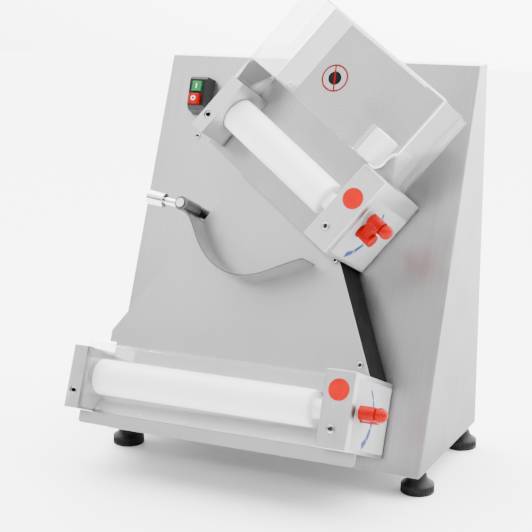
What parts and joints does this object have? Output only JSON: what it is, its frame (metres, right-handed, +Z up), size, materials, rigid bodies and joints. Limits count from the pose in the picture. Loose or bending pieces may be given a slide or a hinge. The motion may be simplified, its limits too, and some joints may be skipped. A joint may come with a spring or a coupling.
{
  "type": "dough sheeter",
  "caption": "Bench dough sheeter with a tilted upper roller pair, a chute with a swinging balance arm, a wide lower roller pair and a clear hopper guard.",
  "frame": {"origin": "centre of the bounding box footprint on the bench, under the feet", "axes": "+Z up, -Y towards the operator, +X to the operator's right, where the thickness levers are"},
  "size_m": [0.4568, 0.3642, 0.6104],
  "materials": {
    "sheet_steel": "brushed",
    "housing_steel": "satin",
    "cheek_black": "satin",
    "foot_rubber": "moulded rubber",
    "bright_steel": "polished",
    "gland_black": "moulded",
    "box_grey": "moulded",
    "clear_plastic": "clear polished acrylic",
    "white_plastic": "moulded",
    "marker_red": "smooth film",
    "label_white": "printed film",
    "bronze": "turned",
    "arm_grey": "smooth",
    "green_plastic": "smooth",
    "red_plastic": "smooth",
    "belt_rubber": "smooth",
    "motor_paint": "painted",
    "roller_white": "smooth",
    "gear_plastic": "machined",
    "pulley_alloy": "turned"
  },
  "bodies": {
    "base": {"casing": "sheet_steel", "base_plate": "sheet_steel", "rear_cover": "sheet_steel", "feet": "foot_rubber", "foot_studs": "bright_steel", "cable_gland": "gland_black", "control_box": "box_grey", "upper_exit_plate": "sheet_steel", "lower_exit_ramp": "sheet_steel", "slide_plate": "sheet_steel", "slide_sides": "cheek_black", "pivot_post": "bright_steel", "hopper_cheek": "sheet_steel", "hopper_chute": "sheet_steel", "hopper_guard": "clear_plastic", "guard_sensor": "white_plastic", "roller_cover": "clear_plastic", "switch_housing": "gland_black", "screws": "bright_steel", "red_markers": "marker_red", "scale_labels": "label_white", "shaft_bushes": "bronze", "upper_left_housing": "housing_steel", "upper_right_housing": "housing_steel", "upper_front_plate": "housing_steel", "upper_side_plate": "housing_steel", "upper_belt": "belt_rubber", "upper_gear_motor": "motor_paint", "lower_left_housing": "housing_steel", "lower_right_housing": "housing_steel", "lower_front_plate": "housing_steel", "lower_side_plate": "housing_steel", "lower_belt": "belt_rubber", "lower_gear_motor": "motor_paint"},
    "upper_rear": {"upper_rear_roller": "roller_white", "upper_drive_shaft": "bright_steel", "upper_rear_gear": "gear_plastic", "upper_roller_pulley": "pulley_alloy"},
    "upper_carriage": {"upper_bearing_blocks": "gear_plastic"},
    "upper_front": {"upper_front_roller": "roller_white", "upper_front_gear": "gear_plastic"},
    "upper_motor": {"upper_motor_pulley": "pulley_alloy"},
    "upper_adjuster": {"upper_adjuster_rod": "bright_steel", "upper_lever": "red_plastic"},
    "lower_rear": {"lower_rear_roller": "roller_white", "lower_drive_shaft": "bright_steel", "lower_rear_gear": "gear_plastic", "lower_roller_pulley": "pulley_alloy"},
    "lower_carriage": {"lower_bearing_blocks": "gear_plastic"},
    "lower_front": {"lower_front_roller": "roller_white", "lower_front_gear": "gear_plastic"},
    "lower_motor": {"lower_motor_pulley": "pulley_alloy"},
    "lower_adjuster": {"lower_adjuster_rod": "bright_steel", "lower_lever": "red_plastic"},
    "balance": {"balance_arm": "arm_grey", "counterweight": "bright_steel"},
    "start": {"start_button": "green_plastic"},
    "stop": {"stop_button": "red_plastic"}
  },
  "joints": [
    {"name": "upper_rear_spin", "type": "hinge", "parent": "base", "child": "upper_rear", "pos_m": [0.0294, 0.02751, 0.37434], "axis": [0.8141, -0.2232, -0.5361], "continuous": true},
    {"name": "upper_motor_spin", "type": "hinge", "parent": "base", "child": "upper_motor", "pos_m": [-0.0569, 0.12964, 0.3985], "axis": [0.8141, -0.2232, -0.5361], "continuous": true},
    {"name": "upper_lever_swing", "type": "hinge", "parent": "base", "child": "upper_adjuster", "pos_m": [0.0294, -0.0168, 0.39278], "axis": [0.8141, -0.2232, -0.5361], "range_deg": [-16.51, 116.51]},
    {"name": "upper_gap_slide", "type": "slide", "parent": "base", "child": "upper_carriage", "axis": [0, -0.9232, 0.3843], "range_m": [-0.00056, 0.00394]},
    {"name": "upper_front_spin", "type": "hinge", "parent": "upper_carriage", "child": "upper_front", "pos_m": [0.0294, -0.01524, 0.39213], "axis": [0.8141, -0.2232, -0.5361], "continuous": true},
    {"name": "lower_rear_spin", "type": "hinge", "parent": "base", "child": "lower_rear", "pos_m": [-0.01936, -0.08448, 0.1053], "axis": [1, 0, 0], "continuous": true},
    {"name": "lower_motor_spin", "type": "hinge", "parent": "base", "child": "lower_motor", "pos_m": [-0.18836, 0.00877, 0.06649], "axis": [1, 0, 0], "continuous": true},
    {"name": "lower_lever_swing", "type": "hinge", "parent": "base", "child": "lower_adjuster", "pos_m": [-0.01936, -0.12879, 0.12375], "axis": [1, 0, 0], "range_deg": [-66.51, 66.51]},
    {"name": "lower_gap_slide", "type": "slide", "parent": "base", "child": "lower_carriage", "axis": [0, -0.9232, 0.3843], "range_m": [-0.00225, 0.00225]},
    {"name": "lower_front_spin", "type": "hinge", "parent": "lower_carriage", "child": "lower_front", "pos_m": [-0.01936, -0.12879, 0.12375], "axis": [1, 0, 0], "continuous": true},
    {"name": "arm_swing", "type": "hinge", "parent": "base", "child": "balance", "pos_m": [-0.10736, -0.03625, 0.33436], "axis": [0, 0.9232, -0.3843], "range_deg": [0, 22]},
    {"name": "start_press", "type": "slide", "parent": "base", "child": "start", "axis": [0, 0.9232, -0.3843], "range_m": [0, 0.003], "stiffness_N_per_m": 400, "springref_m": -0.001},
    {"name": "stop_press", "type": "slide", "parent": "base", "child": "stop", "axis": [0, 0.9232, -0.3843], "range_m": [0, 0.003], "stiffness_N_per_m": 400, "springref_m": -0.001}
  ],
  "couplings": [
    {"joint": "upper_motor_spin", "follows": "upper_rear_spin", "ratio": 1.2667},
    {"joint": "upper_front_spin", "follows": "upper_rear_spin", "ratio": -1},
    {"joint": "upper_lever_swing", "follows": "upper_gap_slide", "rad_per_m": 515.84},
    {"joint": "lower_motor_spin", "follows": "lower_rear_spin", "ratio": 1.2667},
    {"joint": "lower_front_spin", "follows": "lower_rear_spin", "ratio": -1},
    {"joint": "lower_lever_swing", "follows": "lower_gap_slide", "rad_per_m": 515.84}
  ]
}
